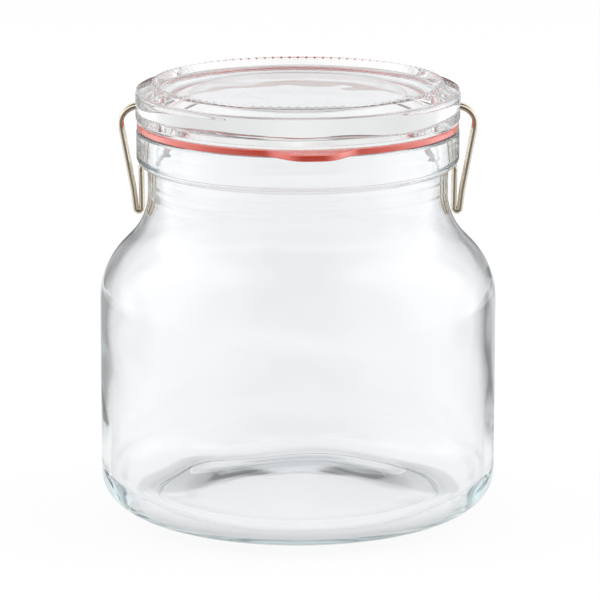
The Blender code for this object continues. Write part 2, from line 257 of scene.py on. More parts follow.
class LidSettings(bpy.types.PropertyGroup):
    """Sizes of the glass lid that its box doesn't give."""

    seat: length("Seat height", "Height of the face that rests on the ring", 0.1388)
    wall_height: length("Wall height", "Height of the outer wall over the seat", 0.011)
    edge: length("Edge", "Radius of the wall's upper edge", 0.0009)
    chamfer: length("Chamfer", "Run of the wall's lower chamfer", 0.0007)
    chamfer_rise: length("Chamfer rise", "Height of the wall's lower chamfer", 0.0014)
    crest_inset: length("Crest inset", "Distance from the wall in to the crest", 0.0063)
    crest_width: length("Crest width", "Width of the crest's top", 0.0010)
    crest_flare: length("Crest flare", "How far the crest's outer side spreads", 0.0008)
    panel_flare: length("Panel flare", "How far the crest's inner side spreads", 0.0024)
    crest_step: length("Crest step", "Height of the crest over the bevel", 0.0010)
    recess: length("Panel recess", "Depth of the centre panel under the crest", 0.0026)
    panel: length("Panel", "Thickness of the centre panel", 0.0105)
    clearance: length("Spigot clearance", "Play of the spigot in the mouth", 0.0007)
    spigot: length("Spigot", "Thickness of the spigot", 0.0040)
    spigot_edge: length("Spigot edge", "Radius of the spigot's edges", 0.0006)
    hollow_run: length("Hollow run", "Run of the hollow's sloping side", 0.0075)
    hollow_curve: length("Hollow curve", "Radius between that side and the panel", 0.003)
    fillet: length("Fillet", "Radius of the moulded inner corners", 0.0007)
    notch_back: length("Notch back", "Distance from the wall in to the notch's back", 0.0047)
    notch_floor: length("Notch floor", "Height of the notch's floor over the seat", 0.0044)
    notch_width: length("Notch width", "Width of a notch", 0.0082)
    notch_slope: share("Notch slope", "Fall of the notch's floor for its run", 0.2)
    notch_flank: length("Notch flank", "Run of the notch's rounded flanks", 0.0003)
    unevenness: length("Unevenness", "How much the hollow's glass wanders", 0.00002)
    wall_wave: length("Wall wave", "Depth of the slow waves in the outer wall", 0.00012)
    dots: count("Dots", "Moulded dots on the crest", 104)
    dot_radius: length("Dot radius", "Radius of a dot", 0.00062)
    dot_height: length("Dot height", "Height of a dot", 0.0002)
    tint: colour("Tint", "Colour of the glass surface", (0.995, 0.995, 0.995))
    depth_tint: colour("Depth tint", "Colour that thick glass tends to", (0.45, 0.55, 0.56))
    density: number("Density", "How strongly the depth tint shows, per metre", 1.5)
    ripple: length("Ripple", "Height of the surface's ripple", 0.00005)


class RubberRingSettings(bpy.types.PropertyGroup):
    """Sizes and colour of the rubber ring."""

    fit: length("Fit", "Play of the ring round the spigot", 0.0004)
    inset: length("Inset", "How far the ring lies inside the flange", 0.0002)
    edge: length("Edge", "Radius of the ring's edges", 0.0005)
    tab_reach: length("Tab reach", "How far the pull tab stands out", 0.0083)
    tab_width: length("Tab width", "Width of the pull tab at its root", 0.0335)
    tab_flat: share("Tab flat", "Share of the tab's width that is flat", 0.15)
    tab_angle: angle("Tab angle", "Where the tab is round the jar", -85)
    columns: count("Columns", "Points round the ring", 480)
    colour: colour("Colour", "Colour of the rubber", (0.74, 0.040, 0.004))


class ClipSettings(bpy.types.PropertyGroup):
    """Sizes and colour of the wire clips."""

    wire: length("Wire radius", "Radius of the wire", 0.0009)
    legs: length("Leg spacing", "Distance between the two legs", 0.0056)
    corner: length("Loop corner", "Radius of the loop's four corners", 0.0014)
    reach: length("Reach", "How far the top corner stands out of the lid", 0.0061)
    drop: length("Run drop", "Fall of the run from the bar to the top corner", 0.0019)
    top_bend: length("Top bend", "Radius of the top bend", 0.0060)
    knee_out: length("Knee out", "How far the knee stands outside the hook", 0.0009)
    knee_rise: length("Knee rise", "Height of the knee over the hook", 0.0077)
    knee_bend: length("Knee bend", "Radius of the knee", 0.020)
    standoff: length("Standoff", "Gap from the neck to the hook's inner leg", 0.0011)
    bend_gap: length("Bend gap", "Gap between the hook's legs, on each side of its middle", 0.00015)
    lean: length("Hook lean", "How far the hook's tip leans outwards", 0.00025)
    seat_gap: length("Seat gap", "Gap from the tip to the flange", 0.00045)
    play: length("Play", "Gap from the hook's bend to the shoulder", 0.0003)
    colour: colour("Colour", "Colour of the steel", (0.88, 0.79, 0.64))


class StageSettings(bpy.types.PropertyGroup):
    """The camera, the lamps and the white surroundings."""

    distance: length("Distance", "Camera distance from the jar's axis, on the level", 1.400)
    height: length("Height", "Camera height over the floor", 0.39869)
    pitch: FloatProperty(name="Pitch", description="Downward tilt", default=0.228, subtype="ANGLE")
    lens: number("Lens", "Focal length on a 36 mm sensor, in millimetres", 243.16)
    shift: number("Shift", "Sideways shift of the picture, as a share of its width", 0.0035)
    floor: length("Floor", "Radius of the floor", 6.0)
    floor_gap: length("Floor gap", "How far the floor lies under the foot", 0.0002)
    whiteness: share("Whiteness", "Share of plain white in what the camera sees of the floor", 0.88)
    mirrored: share("Mirrored", "Brightness of the studio as the glass mirrors it", 1.0)
    pool: length("Pool", "Radius of the bright floor close round the jar", 0.085)
    pool_edge: length("Pool edge", "Radius where the floor has the brightness of its sides", 0.22)
    near_floor: length("Near floor", "Radius where the floor's own sides end", 0.46)
    far_floor: length("Far floor", "Radius where the floor is as bright as the walls", 0.56)
    contact: length("Contact", "Radius of the floor in the jar's own shade, as glass mirrors it", 0.055)
    contact_edge: length("Contact edge", "Radius where that shade ends", 0.075)
    contact_level: share("Contact level", "Brightness of the floor in that shade", 0.65)
    card_distance: length("Card distance", "Distance of the low dark cards from the jar's axis", 0.6)
    card_height: length("Card height", "Height of the low dark cards", 0.205)
    card_fade: length("Card fade", "Height over which the cards fade out at their top", 0.035)
    ambient: share("Ambient", "Brightness of the surroundings as a light", 0.75)
    bounces: count("Bounces", "How often light may bounce, which thick glass needs often", 96)


def unit(vectors):
    """Vectors scaled to length one."""
    return vectors / np.linalg.norm(vectors, axis=-1, keepdims=True)


def smooth_step(values):
    """0 below zero, 1 above one, and 3 t^2 - 2 t^3 between."""
    t = np.clip(values, 0, 1)
    return t * t * (3 - 2 * t)


def fade(place, low, rise, high, fall):
    """1 between low and high, smoothed over the rise after low and over the fall before high."""
    return smooth_step((place - low) / rise) * smooth_step((high - place) / fall)


def bearing(grid):
    """Angle of each point round the upright axis."""
    return np.arctan2(grid[..., 1], grid[..., 0])


def turn_between(angles, middle):
    """Size of the turn between angles and a middle one, the shorter way round."""
    return np.abs(np.mod(angles - middle + math.pi, TURN) - math.pi)


def lengths_along(line):
    """Distance of each point from the first, along the line."""
    return np.concatenate(([0], np.cumsum(np.linalg.norm(np.diff(line, axis=0), axis=1))))


def arc(centre, radius, start, end, points):
    """Points centre + radius (cos a, sin a), for the angle a from start to end."""
    turn = np.linspace(start, end, points)
    return np.column_stack((centre[0] + radius * np.cos(turn), centre[1] + radius * np.sin(turn)))


def swell(edge_radius, edge_z, rise, points):
    """Points (s R, z + h (1 + cos(pi s)) / 2) of a round swell, for s from 0 to 1, axis to edge."""
    s = np.linspace(0, 1, points)
    return np.column_stack((edge_radius * s, edge_z + rise * (1 + np.cos(math.pi * s)) / 2))


def rounded(corners, radii, closed=False, points=9):
    """Line through corners, each cut by an arc of its own radius that touches both its sides.

    With a the turn at a corner, an arc's points are C + (P sin((1 - t) a) + Q sin(t a)) / sin a
    for t from 0 to 1, where P and Q lead from its centre C to its two ends.
    """
    corner = np.asarray(corners, float)
    radius = np.asarray(radii, float)[:, None]
    before = np.roll(corner, 1, axis=0) - corner
    after = np.roll(corner, -1, axis=0) - corner
    if not closed:
        before[0] = -after[0] + np.roll(after[0], 1) * END_BEND
        after[-1] = -before[-1] + np.roll(before[-1], 1) * END_BEND
    before = unit(before)
    after = unit(after)
    half = np.arccos(np.clip(np.sum(before * after, axis=1, keepdims=True), -1, 1)) / 2
    run = radius / np.tan(half)
    centre = corner + unit(before + after) * radius / np.sin(half)
    start = corner + before * run - centre
    end = corner + after * run - centre
    turn = math.pi - 2 * half
    t = np.linspace(0, 1, points)[:, None, None]
    line = centre + (start * np.sin((1 - t) * turn) + end * np.sin(t * turn)) / np.sin(turn)
    line = line.transpose(1, 0, 2).reshape(-1, corner.shape[1])
    apart = np.linalg.norm(np.diff(line, axis=0), axis=1) > LEAST_SIDE
    return line[np.concatenate(([True], apart))]


def spread(line, step):
    """The line with further points on its long segments, so that none is longer than the step."""
    sides = np.diff(line, axis=0)
    parts = np.maximum(np.ceil(np.linalg.norm(sides, axis=1) / step).astype(int), 1)
    first = np.repeat(np.cumsum(parts) - parts, parts)
    t = (np.arange(parts.sum()) - first) / np.repeat(parts, parts)
    inner = np.repeat(line[:-1], parts, axis=0) + np.repeat(sides, parts, axis=0) * t[:, None]
    return np.vstack((inner, line[-1]))


def turned(line, angles):
    """Grid of points (r cos a, r sin a, z): the line's points in rows, the angles in columns."""
    radius, height = line[:, :1], line[:, 1:]
    flat = np.stack((radius * np.cos(angles), radius * np.sin(angles)), axis=-1)
    return np.dstack((flat, np.broadcast_to(height, flat.shape[:2])))


def mesh_piece(name, grid, material, wrap_rows=False, poles=(), uv=None):
    """Mesh over a grid of points whose columns wrap round, with its faces on the outer side.

    Rows run down the outer side. wrap_rows joins the last row to the first. poles are the two
    points that close the first and the last row, each with a fan of triangles.
    """
    rows, columns = grid.shape[:2]
    index = np.arange(rows * columns).reshape(rows, columns)
    lower = np.roll(index, -1, axis=0) if wrap_rows else index[1:]
    upper = index if wrap_rows else index[:-1]
    beside = [upper, lower, np.roll(lower, -1, axis=1), np.roll(upper, -1, axis=1)]
    faces = np.stack(beside, axis=-1).reshape(-1, 4).tolist()
    points = grid.reshape(-1, 3)
    if len(poles):
        first, last = index[0], index[-1]
        top = np.full(columns, len(points))
        fans = [(top, first, np.roll(first, -1)), (top + 1, np.roll(last, -1), last)]
        for fan in fans:
            faces += np.column_stack(fan).tolist()
        points = np.vstack((points, poles))
    mesh = bpy.data.meshes.new(name)
    mesh.from_pydata(points.tolist(), [], faces)
    if uv is not None:
        layer = mesh.uv_layers.new(name="UVMap")
        corner = np.zeros(len(mesh.loops), int)
        mesh.loops.foreach_get("vertex_index", corner)
        layer.data.foreach_set("uv", uv.reshape(-1, 2)[corner].ravel())
    mesh.shade_smooth()
    mesh.materials.append(material)
    piece = bpy.data.objects.new(name, mesh)
    bpy.context.scene.collection.objects.link(piece)
    return piece


def dress(piece, body, node):
    """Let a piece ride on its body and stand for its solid."""
    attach(piece, body)
    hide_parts(node)


def shoulder_curves(s):
    """Radii and angle of the two arcs that make the S of the shoulder, from its rise and its drop."""
    drop = JAR_HIGH.x - s.neck_radius
    largest = (s.shoulder_rise**2 + drop**2) / (2 * drop)
    both = largest * s.curves
    straight = math.sqrt(2 * drop * (largest - both))
    lean = math.atan2(s.shoulder_rise, both - drop) - math.atan2(straight, both)
    outer = both * s.outer_curve
    return outer, both - outer, lean


def shoulder(s, offset, points):
    """The shoulder's line from the neck down to the body, moved inwards by an offset."""
    outer, inner, lean = shoulder_curves(s)
    upper_centre = (s.neck_radius + inner, s.body_top + s.shoulder_rise)
    lower_centre = (JAR_HIGH.x - outer, s.body_top)
    upper = arc(upper_centre, inner + offset, math.pi, math.pi + lean, points)
    lower = arc(lower_centre, outer - offset, lean, 0, points)
    return np.vstack((upper, lower))


def jar_section(s):
    """The section of the glass in two lines, made of swells, arcs and part of an ellipse.

    The inside runs from the floor's middle up to the rim, and the outside from the rim down to
    the underside's middle.
    """
    body, top = JAR_HIGH.x, JAR_HIGH.z
    flange = s.neck_radius + s.overhang
    mouth = s.neck_radius - s.wall
    flange_bottom = s.body_top + s.shoulder_rise + s.neck_height
    corner = s.overhang - s.root
    floor_edge = body - s.wall - s.inner_heel
    foot_outer = body - s.heel_run
    foot_inner = foot_outer - s.foot_width
    inside = np.vstack((
        swell(floor_edge, s.base, s.push_up, SWELL_POINTS)[1:],
        arc((floor_edge, s.base + s.inner_heel), s.inner_heel, -QUARTER, 0, CORNER_POINTS)[1:],
        shoulder(s, s.wall, SHOULDER_POINTS)[::-1],
        arc((mouth + s.rim_edge, top - s.rim_edge), s.rim_edge, math.pi, QUARTER, EDGE_POINTS),
    ))
    heel = arc((0, 0), 1, 0, -QUARTER, HEEL_POINTS) * (s.heel_run, s.heel_rise)
    heel = heel + (foot_outer, s.heel_rise)
    foot = rounded(
        [heel[-1], (foot_inner, JAR_LOW.z), (foot_inner - 2 * s.foot_edge, s.foot_edge)],
        (0, s.foot_edge, 0),
    )[1:]
    root_centre = (s.neck_radius + s.root, flange_bottom - s.root)
    outside = np.vstack((
        arc((flange - s.rim_edge, top - s.rim_edge), s.rim_edge, QUARTER, 0, EDGE_POINTS),
        arc((flange - corner, flange_bottom + corner), corner, 0, -QUARTER, CORNER_POINTS),
        arc(root_centre, s.root, QUARTER, math.pi, ROOT_POINTS)[1:],
        shoulder(s, 0, SHOULDER_POINTS),
        heel,
        foot,
        swell(foot[-1][0], foot[-1][1], s.push_up - s.foot_edge, SWELL_POINTS)[::-1][1:-1],
    ))
    return inside, outside


def wandering(grid, size):
    """Slow changes of the blown wall: size times a mean of waves over height and round the jar."""
    around = bearing(grid)
    height = grid[..., 2] * TURN / BLOWN_WAVE_HEIGHT
    waves = sum(np.sin(turns * around + rise * height + start) for turns, rise, start in BLOWN_WAVES)
    return size * waves / len(BLOWN_WAVES)


def flowing(grid, size):
    """Slow waves across a pressed face: size times a mean of waves over x and y."""
    x, y = grid[..., 0] * TURN, grid[..., 1] * TURN
    waves = sum(np.sin(x / along_x + y / along_y + start) for along_x, along_y, start in UNDER_WAVES)
    return size * waves / len(UNDER_WAVES)


def mould_rings(grid, size):
    """Fine rings that the mould leaves inside the neck: size times a mean of waves over height."""
    around = bearing(grid)
    height = grid[..., 2] * TURN
    waves = 0
    for rise, part, sway, turns, start in NECK_RINGS:
        waves = waves + part * np.sin(height / rise + sway * np.sin(turns * around + start))
    return size * waves / sum(ring[1] for ring in NECK_RINGS)


class JAR_OT_jar_glass(bpy.types.Operator):
    """Make the jar's glass with its wide body, shoulder, neck and rim flange"""

    bl_idname = "jar.jar_glass"
    bl_label = "Jar Glass"

    def execute(self, context):
        s = context.scene.jar_glass
        angles = np.linspace(0, TURN, s.columns, endpoint=False)
        inside, outside = jar_section(s)
        at_neck = inside[1:, 1] > RINGS_LOW
        inside = spread(inside, np.where(at_neck, NECK_STEP, JAR_STEP))
        outside = spread(outside, JAR_STEP)
        inner = turned(inside, angles)
        height = inner[..., 2]
        blown = wandering(inner, s.unevenness) * fade(height, s.base, BLOWN_RISE, BLOWN_TOP, BLOWN_FALL)
        neck = mould_rings(inner, s.rings) * fade(height, RINGS_LOW, RINGS_RISE, RINGS_TOP, RINGS_FALL)
        scale = 1 + (blown + neck) / inside[:, :1]
        inner[..., :2] *= scale[..., None]
        grid = np.vstack((inner, turned(outside, angles)))
        poles = [(0, 0, s.base + s.push_up), (0, 0, s.push_up)]
        glass = clear_glass("jar_glass", s.tint, s.depth_tint, s.density, s.ripple)
        piece = mesh_piece("jar_glass", grid, glass, poles=poles)
        dress(piece, "jar", "jar_body")
        return {"FINISHED"}


def lid_section(s, mouth):
    """The section of the lid as lines: its top, its outer wall, its notch and its underside.

    Each is a line through corners with rounding arcs. The outer wall and the notch have the same
    two ends. The heights of the panel's two faces come with them.
    """
    radius, top = LID_HIGH.x, LID_HIGH.z - s.dot_height
    crest = radius - s.crest_inset
    crest_in, crest_out = crest - s.crest_width / 2, crest + s.crest_width / 2
    panel_top = LID_HIGH.z - s.recess
    panel_bottom = panel_top - s.panel
    panel_edge = crest_in - s.panel_flare
    shoulder_z = s.seat + s.wall_height
    spigot_out = mouth - s.clearance
    spigot_in = spigot_out - s.spigot
    bevel_start = (crest_out + s.crest_flare, LID_HIGH.z - s.crest_step)
    wall_foot = (radius, s.seat + s.chamfer_rise)
    upper = rounded(
        [(LID_MIDDLE, panel_top), (panel_edge, panel_top), (crest_in, top), (crest_out, top),
         bevel_start, (radius - s.edge, shoulder_z)],
        (0, PANEL_FILLET, CREST_EDGE, CREST_EDGE, BEVEL_FILLET, 0),
    )
    keep = np.searchsorted(upper[:, 0], bevel_start[0] + WALL_LEAD)
    upper = upper[:keep]
    wall = rounded(
        [upper[-1], (radius, shoulder_z), wall_foot, (radius - s.chamfer, s.seat)],
        (0, s.edge, WALL_FOOT_EDGE, 0),
    )
    back = radius - s.notch_back
    floor = s.seat + s.notch_floor
    front_floor = floor - s.notch_slope * (radius - back)
    notch = rounded(
        [upper[-1], (back, upper[-1][1] - NOTCH_TOP_STEP), (back, floor), (radius, front_floor),
         wall_foot, (radius - s.chamfer, s.seat)],
        (0, NOTCH_TOP_EDGE, NOTCH_FILLET, NOTCH_LIP, WALL_FOOT_EDGE, 0),
    )
    under = rounded(
        [(radius - s.chamfer, s.seat), (spigot_out, s.seat), (spigot_out, LID_LOW.z),
         (spigot_in, LID_LOW.z), (spigot_in - s.hollow_run, panel_bottom), (LID_MIDDLE, panel_bottom)],
        (0, s.fillet, s.spigot_edge, s.spigot_edge, s.hollow_curve, 0),
        points=LID_UNDER_POINTS,
    )
    return upper, wall, notch, under, (panel_top, panel_bottom)


def evenly(line, points):
    """The same line as a fixed count of points, evenly spaced along it."""
    along = lengths_along(line)
    at = np.linspace(0, along[-1], points)
    return np.column_stack((np.interp(at, along, line[:, 0]), np.interp(at, along, line[:, 1])))


def lid_angles(s):
    """Angles of the lid's columns: some over each dot, one between dots, close ones at the notches."""
    pitch = TURN / s.dots
    crest = LID_HIGH.x - s.crest_inset
    over = np.linspace(-1, 1, DOT_COLUMNS) * s.dot_radius / crest
    angles = np.concatenate((over, [pitch / 2])) + pitch * np.arange(s.dots)[:, None]
    angles = np.mod(angles.ravel(), TURN)
    zone = NOTCH_ZONE_SHARE * s.notch_width / LID_HIGH.x
    fine = np.arange(-zone, zone, NOTCH_STEP / LID_HIGH.x)
    for middle in (0, math.pi):
        kept = angles[turn_between(angles, middle) > zone + NOTCH_ZONE_GAP]
        angles = np.concatenate((kept, np.mod(fine + middle, TURN)))
    return np.unique(angles)


class JAR_OT_lid(bpy.types.Operator):
    """Make the glass lid with its crest of dots, its panel, its spigot and its two notches"""

    bl_idname = "jar.lid"
    bl_label = "Glass Lid"

    def execute(self, context):
        s = context.scene.lid
        jar = context.scene.jar_glass
        mouth = jar.neck_radius - jar.wall
        upper, wall, notch, under, panel = lid_section(s, mouth)
        angles = lid_angles(s)
        crest = LID_HIGH.x - s.crest_inset
        near_crest = np.abs(upper[:, 0] - crest) <= s.dot_radius
        fine = near_crest[1:] & near_crest[:-1]
        top = turned(spread(upper, np.where(fine, CREST_STEP, LID_TOP_STEP)), angles)
        top[..., 2] += self.dot_heights(s, top)
        plain = turned(evenly(wall, LID_WALL_POINTS), angles)
        cut = turned(evenly(notch, LID_WALL_POINTS), angles)
        flank = (s.notch_width / 2 - np.abs(cut[..., 1])) / s.notch_flank
        inside_notch = smooth_step(flank)[..., None]
        outer = plain * (1 - inside_notch) + cut * inside_notch
        outer[..., :2] *= 1 - self.wall_waves(s, outer)[..., None] / LID_HIGH.x
        grid = np.vstack((top, outer[1:], self.hollow(s, under, mouth, angles)[1:]))
        poles = [(0, 0, panel[0]), (0, 0, panel[1])]
        glass = clear_glass("lid_glass", s.tint, s.depth_tint, s.density, s.ripple)
        piece = mesh_piece("lid_glass", grid, glass, poles=poles)
        dress(piece, "lid", "lid")
        return {"FINISHED"}

    def hollow(self, s, line, mouth, angles):
        """The underside, with slow waves in the glass inside the spigot that fade out at the axis."""
        grid = turned(spread(line, LID_UNDER_STEP), angles)
        radius = np.hypot(grid[..., 0], grid[..., 1])
        edge = mouth - s.clearance - s.spigot
        grid[..., 2] += flowing(grid, s.unevenness) * fade(radius, 0, UNDER_RISE, edge, UNDER_FALL)
        return grid

    def wall_waves(self, s, grid):
        """How far the wall lies inside its full size: size (1 + sin(phase)) / 2, nothing at its ends.

        The phase grows with the height, and sways by sines of the angle round the lid.
        """
        around = bearing(grid)
        height = (grid[..., 2] - s.seat) / s.wall_height
        phase = TURN * WALL_WAVES * height
        for sway, turns, start in WALL_SWAYS:
            phase = phase + sway * np.sin(turns * around + start)
        ends = fade(height, 0, WALL_FADE_SHARE, WALL_END_SHARE, WALL_FADE_SHARE)
        return s.wall_wave * (1 + np.sin(phase)) / 2 * ends

    def dot_heights(self, s, grid):
        """Each dot is a cap of height h sqrt(1 - d^2 / R^2), where d is the distance from its middle."""
        crest = LID_HIGH.x - s.crest_inset
        pitch = TURN / s.dots
        past = (np.mod(bearing(grid) / pitch + 0.5, 1) - 0.5) * pitch * crest
        out = np.hypot(grid[..., 0], grid[..., 1]) - crest
        return s.dot_height * np.sqrt(np.clip(1 - (past**2 + out**2) / s.dot_radius**2, 0, 1))


class JAR_OT_rubber_ring(bpy.types.Operator):
    """Make the flat rubber ring with its pull tab"""

    bl_idname = "jar.rubber_ring"
    bl_label = "Rubber Ring"

    def execute(self, context):
        s = context.scene.rubber_ring
        jar = context.scene.jar_glass
        lid = context.scene.lid
        angles = np.linspace(0, TURN, s.columns, endpoint=False)
        bore = jar.neck_radius - jar.wall - lid.clearance + s.fit + s.edge
        rim = jar.neck_radius + jar.overhang - s.inset - s.edge
        low, high = RING_LOW.z, RING_HIGH.z
        upper_edge = arc((0, high - s.edge), s.edge, QUARTER, 0, EDGE_POINTS)
        lower_edge = arc((0, low + s.edge), s.edge, 0, -QUARTER, EDGE_POINTS)
        side = np.vstack((upper_edge, lower_edge))
        reach = rim + self.tab(s, angles)
        outward = side[:, :1] + reach
        inward = bore - side[::-1, :1] + 0 * angles
        flat = np.linspace(1, 0, RING_FLAT_POINTS)[1:-1, None]
        over = reach * (1 - flat) + bore * flat
        radius = np.vstack((over, outward, over[::-1], inward))
        upper_face = np.full(len(flat), high)
        lower_face = np.full(len(flat), low)
        height = np.concatenate((upper_face, side[:, 1], lower_face, side[::-1, 1]))[:, None] + 0 * radius
        grid = np.stack((radius * np.cos(angles), radius * np.sin(angles), height), axis=-1)
        piece = mesh_piece("rubber_ring", grid, rubber("ring_rubber", s.colour), wrap_rows=True)
        dress(piece, "gasket", "gasket")
        return {"FINISHED"}

    def tab(self, s, angles):
        """How far the tab stands out: its reach, falling to nothing by a half wave on each flank."""
        away = turn_between(angles, s.tab_angle) * RING_HIGH.x
        half = s.tab_width / 2
        flat = half * s.tab_flat
        fall = np.clip((away - flat) / (half - flat), 0, 1)
        return s.tab_reach * (1 + np.cos(math.pi * fall)) / 2


def clip_line(s, jar):
    """Corners of one leg, in the plane through the jar's axis, each with its bend radius."""
    pivot_x, pivot_z = PIVOTS["right_clip"][0], PIVOTS["right_clip"][2]
    bend = s.wire + s.bend_gap
    inner_leg = jar.neck_radius + s.wire + s.standoff
    outer_leg = inner_leg + 2 * bend
    hollow = shoulder_curves(jar)[1]
    neck_bottom = jar.body_top + jar.shoulder_rise
    room = hollow - bend - s.wire - s.play
    across = jar.neck_radius + hollow - inner_leg - bend
    hook_low = neck_bottom - math.sqrt(room**2 - across**2) - bend
    corner = jar.overhang - jar.root
    tip_x = inner_leg + s.lean
    tip_reach = corner + s.wire + s.seat_gap
    side = tip_x - jar.neck_radius - jar.overhang + corner
    tip_z = neck_bottom + jar.neck_height + corner - math.sqrt(tip_reach**2 - side**2)
    corners = [
        (pivot_x, pivot_z),
        (LID_HIGH.x + s.reach, pivot_z - s.drop),
        (outer_leg + s.knee_out, hook_low + s.knee_rise),
        (outer_leg, hook_low),
        (inner_leg, hook_low),
        (tip_x, tip_z),
    ]
    return np.array(corners), [s.corner, s.top_bend, s.knee_bend, bend, bend, s.corner]


def wire_along(line, radius, sides):
    """Grid of a round wire: p + radius (n cos a + m sin a), with n and m square to the line.

    n is the normal of the surface that the loop lies in, which is level across its two ends.
    """
    ahead = unit(np.roll(line, -1, axis=0) - np.roll(line, 1, axis=0))
    leg = np.column_stack((ahead[:, 0], 0 * ahead[:, 0], ahead[:, 2]))
    leg *= -np.sign(line[:, 1:2])
    clear = np.linalg.norm(leg, axis=1) > LEAST_LEG_SHARE
    place = np.arange(len(line))
    normal = np.column_stack((-leg[:, 2], leg[:, 1], leg[:, 0]))
    normal = unit(normal[clear])
    spots = np.concatenate((place[clear] - len(line), place[clear], place[clear] + len(line)))
    normal = np.column_stack([np.interp(place, spots, np.tile(normal[:, k], 3)) for k in range(3)])
    side = unit(np.cross(ahead, normal))
    normal = np.cross(side, ahead)
    around = np.linspace(0, TURN, sides, endpoint=False)[:, None, None]
    grid = line + radius * (normal * np.cos(around) + side * np.sin(around))
    along = np.broadcast_to(lengths_along(line), grid.shape[:2])
    across = np.broadcast_to(around[..., 0] * radius, grid.shape[:2])
    uv = np.stack((along, across), axis=-1)
    return grid.transpose(1, 0, 2), uv.transpose(1, 0, 2)


class JAR_OT_clips(bpy.types.Operator):
    """Make the two wire clips, closed loops with a bar in the lid and a hook under the rim"""

    bl_idname = "jar.clips"
    bl_label = "Wire Clips"

    def execute(self, context):
        s = context.scene.clips
        corners, radii = clip_line(s, context.scene.jar_glass)
        half = s.legs / 2
        near = np.column_stack((corners[:, 0], np.full(len(corners), -half), corners[:, 1]))
        far = near * (1, -1, 1)
        loop = np.vstack((near, far[::-1]))
        line = rounded(loop, radii + radii[::-1], closed=True, points=LOOP_CORNER_POINTS)
        line = spread(np.vstack((line, line[:1])), WIRE_STEP)[:-1]
        for name, side in (("left_clip", -1), ("right_clip", 1)):
            grid, uv = wire_along(line, s.wire, WIRE_SIDES)
            if side < 0:
                grid = grid[:, ::-1] * (-1, 1, 1)
                uv = uv[:, ::-1]
            slot = name + "_steel"
            piece = mesh_piece(name + "_wire", grid, steel(slot, s.colour), wrap_rows=True, uv=uv)
            dress(piece, name, name)
        return {"FINISHED"}


def new_material(name):
    """A material with its Principled shader, its nodes and its links."""
    material = bpy.data.materials.new(name)
    material.use_nodes = True
    return material, material.node_tree.nodes, material.node_tree.links


def set_plain(shader, values):
    """Set plain values on the shader's own sockets."""
    for name, value in values.items():
        shader.inputs[name].default_value = value


def mixed(nodes, links, factor, first, second):
    """A mix of two plain colours by a factor from another node.

    For colours, the node's inputs 6 and 7 hold the two and its output 2 gives the mix.
    """
    mix = nodes.new("ShaderNodeMix")
    mix.data_type = "RGBA"
    links.new(factor, mix.inputs["Factor"])
    mix.inputs[6].default_value = (*first, 1)
    mix.inputs[7].default_value = (*second, 1)
    return mix.outputs[2]


def mottled(nodes, links, pattern, tint, shares):
    """A colour that a pattern takes from a darker to a lighter share of its tint."""
    darker, lighter = ([part * level for part in tint] for level in shares)
    return mixed(nodes, links, pattern, darker, lighter)


def eased(nodes, links, value, low, high, least=0.0):
    """A value taken from least at low to 1 at high, with smooth ends."""
    node = nodes.new("ShaderNodeMapRange")
    node.interpolation_type = "SMOOTHSTEP"
    set_plain(node, {"From Min": low, "From Max": high, "To Min": least})
    links.new(value, node.inputs["Value"])
    return node.outputs["Result"]


def group_named(name, inputs, outputs):
    """A new shader node group with its sockets, each given as a name, a kind and a default."""
    group = bpy.data.node_groups.new(name, "ShaderNodeTree")
    for label, kind, default in inputs:
        socket = group.interface.new_socket(label, in_out="INPUT", socket_type=kind)
        socket.default_value = default
    for label, kind in outputs:
        group.interface.new_socket(label, in_out="OUTPUT", socket_type=kind)
    return group, group.nodes.new("NodeGroupInput"), group.nodes.new("NodeGroupOutput")


def ripple_group():
    """Node group for a surface that ripples a little, as moulded glass and rubber do."""
    if "surface_ripple" in bpy.data.node_groups:
        return bpy.data.node_groups["surface_ripple"]
    group, given, result = group_named(
        "surface_ripple",
        [("Scale", "NodeSocketFloat", 60.0), ("Height", "NodeSocketFloat", 0.0001),
         ("Detail", "NodeSocketFloat", 2.0)],
        [("Normal", "NodeSocketVector"), ("Mottle", "NodeSocketFloat")],
    )
    place = group.nodes.new("ShaderNodeTexCoord")
    noise = group.nodes.new("ShaderNodeTexNoise")
    bump = group.nodes.new("ShaderNodeBump")
    links = group.links
    links.new(place.outputs["Object"], noise.inputs["Vector"])
    links.new(given.outputs["Scale"], noise.inputs["Scale"])
    links.new(given.outputs["Detail"], noise.inputs["Detail"])
    links.new(noise.outputs["Fac"], bump.inputs["Height"])
    links.new(given.outputs["Height"], bump.inputs["Distance"])
    links.new(bump.outputs["Normal"], result.inputs["Normal"])
    links.new(noise.outputs["Fac"], result.inputs["Mottle"])
    return group


